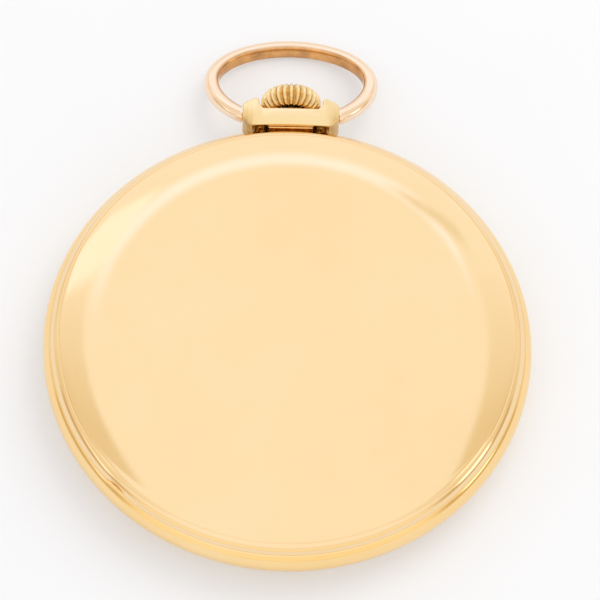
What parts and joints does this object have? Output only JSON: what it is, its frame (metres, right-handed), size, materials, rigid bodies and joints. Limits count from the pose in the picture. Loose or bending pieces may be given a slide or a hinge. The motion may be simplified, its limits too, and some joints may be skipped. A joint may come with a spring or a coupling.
{
  "type": "open face pocket watch",
  "caption": "Slim round open face pocket watch with a plain domed press-on back, fluted winding crown, oval bow and a hand-wound lever movement inside.",
  "frame": {"origin": "centre of the crystal's flat outer face, which the watch rests on when it lies dial down", "axes": "+Z out of the back, +Y from the middle towards the pendant and the bow, +X to the right when looking at the back"},
  "size_m": [0.045, 0.0564, 0.0069],
  "materials": {
    "case_gold": "polished yellow gold",
    "pendant_gold": "polished pale gold",
    "bow_gold": "polished rose gold",
    "crown_gold": "fluted gold",
    "crystal_glass": "clear polished",
    "dial_silver": "silvered satin",
    "nickel": "striped nickel",
    "steel": "polished steel",
    "blued_steel": "blued",
    "spring_blue": "blued spring",
    "hand_steel": "blued",
    "brass": "gilt",
    "ruby": "polished ruby"
  },
  "bodies": {
    "root": {"mid_case": "case_gold", "pendant": "pendant_gold", "pendant_sleeve": "steel", "main_plate": "nickel", "barrel_bridge": "nickel", "train_bridge": "nickel", "balance_cock": "nickel", "pallet_cock": "nickel", "bridge_screws": "blued_steel", "case_screws": "blued_steel", "train_jewels": "ruby", "balance_jewels": "ruby", "crown_wheel_cap": "steel", "small_screws": "blued_steel", "return_springs": "steel", "hairspring": "spring_blue", "hairspring_stud": "steel", "dial": "dial_silver"},
    "rear_cover": {"rear_cover": "case_gold"},
    "bezel": {"bezel": "case_gold", "crystal": "crystal_glass"},
    "bow": {"bow": "bow_gold"},
    "stem_pull": {"setting_lever": "steel"},
    "crown": {"crown": "crown_gold", "winding_stem": "steel"},
    "yoke": {"yoke": "steel"},
    "sliding_pinion": {"sliding_pinion": "steel"},
    "winding_pinion": {"winding_pinion": "steel"},
    "crown_wheel": {"crown_wheel": "steel"},
    "ratchet": {"ratchet_wheel": "steel", "ratchet_screw": "blued_steel", "barrel_arbor": "steel"},
    "click": {"click": "steel"},
    "barrel": {"barrel_drum": "brass", "barrel_cover": "brass", "mainspring": "spring_blue"},
    "centre": {"centre_arbor": "steel", "centre_wheel": "brass", "cannon_pinion": "steel", "minute_hand": "hand_steel"},
    "minute_wheel": {"minute_wheel": "brass"},
    "setting_wheel": {"setting_wheel": "brass"},
    "hour": {"hour_wheel": "brass", "hour_hand": "hand_steel"},
    "third": {"third_arbor": "steel", "third_wheel": "brass"},
    "fourth": {"fourth_arbor": "steel", "fourth_wheel": "brass", "seconds_hand": "hand_steel"},
    "escape": {"escape_arbor": "steel", "escape_wheel": "steel"},
    "pallet": {"pallet_fork": "steel", "pallet_stones": "ruby", "pallet_arbor": "steel"},
    "balance": {"balance_wheel": "brass", "balance_screws": "brass", "balance_staff": "steel", "roller": "steel", "impulse_jewel": "ruby"},
    "regulator": {"regulator": "steel"}
  },
  "joints": [
    {"name": "rear_cover_lift", "type": "slide", "parent": "root", "child": "rear_cover", "axis": [0, 0, 1], "range_m": [0, 0.012]},
    {"name": "bezel_lift", "type": "slide", "parent": "root", "child": "bezel", "axis": [0, 0, -1], "range_m": [0, 0.012]},
    {"name": "bow_swing", "type": "hinge", "parent": "root", "child": "bow", "pos_m": [0, 0.024, 0.0037], "axis": [1, 0, 0], "range_deg": [-117, 152]},
    {"name": "stem_pull", "type": "slide", "parent": "root", "child": "stem_pull", "axis": [0, 1, 0], "range_m": [0, 0.0009]},
    {"name": "crown_turn", "type": "hinge", "parent": "stem_pull", "child": "crown", "pos_m": [0, 0.02, 0.0037], "axis": [0, 1, 0], "continuous": true},
    {"name": "yoke_shift", "type": "slide", "parent": "root", "child": "yoke", "axis": [0, -1, 0], "range_m": [0, 0.0007]},
    {"name": "sliding_pinion_turn", "type": "hinge", "parent": "yoke", "child": "sliding_pinion", "pos_m": [0, 0.02, 0.0037], "axis": [0, 1, 0], "continuous": true},
    {"name": "winding_pinion_turn", "type": "hinge", "parent": "root", "child": "winding_pinion", "pos_m": [0, 0.02, 0.0037], "axis": [0, 1, 0], "continuous": true},
    {"name": "crown_wheel_turn", "type": "hinge", "parent": "root", "child": "crown_wheel", "pos_m": [0, 0.0128, 0.0057], "axis": [0, 0, 1], "continuous": true},
    {"name": "ratchet_turn", "type": "hinge", "parent": "root", "child": "ratchet", "pos_m": [0.00562, 0.0067, 0.0057], "axis": [0, 0, 1], "continuous": true},
    {"name": "click_swing", "type": "hinge", "parent": "root", "child": "click", "pos_m": [0.01299, 0.00853, 0.0057], "axis": [0, 0, 1], "range_deg": [0, 12]},
    {"name": "centre_turn", "type": "hinge", "parent": "root", "child": "centre", "pos_m": [0, 0, 0.0045], "axis": [0, 0, 1], "continuous": true},
    {"name": "barrel_turn", "type": "hinge", "parent": "root", "child": "barrel", "pos_m": [0.00562, 0.0067, 0.0045], "axis": [0, 0, 1], "continuous": true},
    {"name": "minute_wheel_turn", "type": "hinge", "parent": "root", "child": "minute_wheel", "pos_m": [0, 0.003, 0.0029], "axis": [0, 0, 1], "continuous": true},
    {"name": "setting_wheel_turn", "type": "hinge", "parent": "root", "child": "setting_wheel", "pos_m": [0, 0.00863, 0.0029], "axis": [0, 0, 1], "continuous": true},
    {"name": "hour_turn", "type": "hinge", "parent": "root", "child": "hour", "pos_m": [0, 0, 0.0028], "axis": [0, 0, 1], "continuous": true},
    {"name": "third_turn", "type": "hinge", "parent": "root", "child": "third", "pos_m": [0.0046, -0.00583, 0.0045], "axis": [0, 0, 1], "continuous": true},
    {"name": "fourth_turn", "type": "hinge", "parent": "root", "child": "fourth", "pos_m": [0, -0.0096, 0.0045], "axis": [0, 0, 1], "continuous": true},
    {"name": "escape_turn", "type": "hinge", "parent": "root", "child": "escape", "pos_m": [-0.00499, -0.00872, 0.0045], "axis": [0, 0, 1], "continuous": true},
    {"name": "pallet_swing", "type": "hinge", "parent": "root", "child": "pallet", "pos_m": [-0.0077, -0.00717, 0.0042], "axis": [0, 0, 1], "range_deg": [-5.5, 5.5]},
    {"name": "balance_swing", "type": "hinge", "parent": "root", "child": "balance", "pos_m": [-0.0115, -0.005, 0.005], "axis": [0, 0, 1], "range_deg": [-270, 270]},
    {"name": "regulator_set", "type": "hinge", "parent": "root", "child": "regulator", "pos_m": [-0.0115, -0.005, 0.0059], "axis": [0, 0, 1], "range_deg": [-15, 15]}
  ],
  "couplings": [
    {"joint": "yoke_shift", "follows": "stem_pull", "ratio": 0.77778},
    {"joint": "sliding_pinion_turn", "follows": "crown_turn", "ratio": 1},
    {"joint": "winding_pinion_turn", "follows": "crown_turn", "ratio": 1},
    {"joint": "crown_wheel_turn", "follows": "crown_turn", "ratio": 0.52632},
    {"joint": "ratchet_turn", "follows": "crown_turn", "ratio": -0.35885},
    {"joint": "barrel_turn", "follows": "centre_turn", "ratio": -0.15},
    {"joint": "minute_wheel_turn", "follows": "centre_turn", "ratio": -0.33333},
    {"joint": "setting_wheel_turn", "follows": "centre_turn", "ratio": 0.22222},
    {"joint": "hour_turn", "follows": "centre_turn", "ratio": 0.083333},
    {"joint": "third_turn", "follows": "centre_turn", "ratio": -8},
    {"joint": "fourth_turn", "follows": "centre_turn", "ratio": 60},
    {"joint": "escape_turn", "follows": "centre_turn", "ratio": -600}
  ]
}
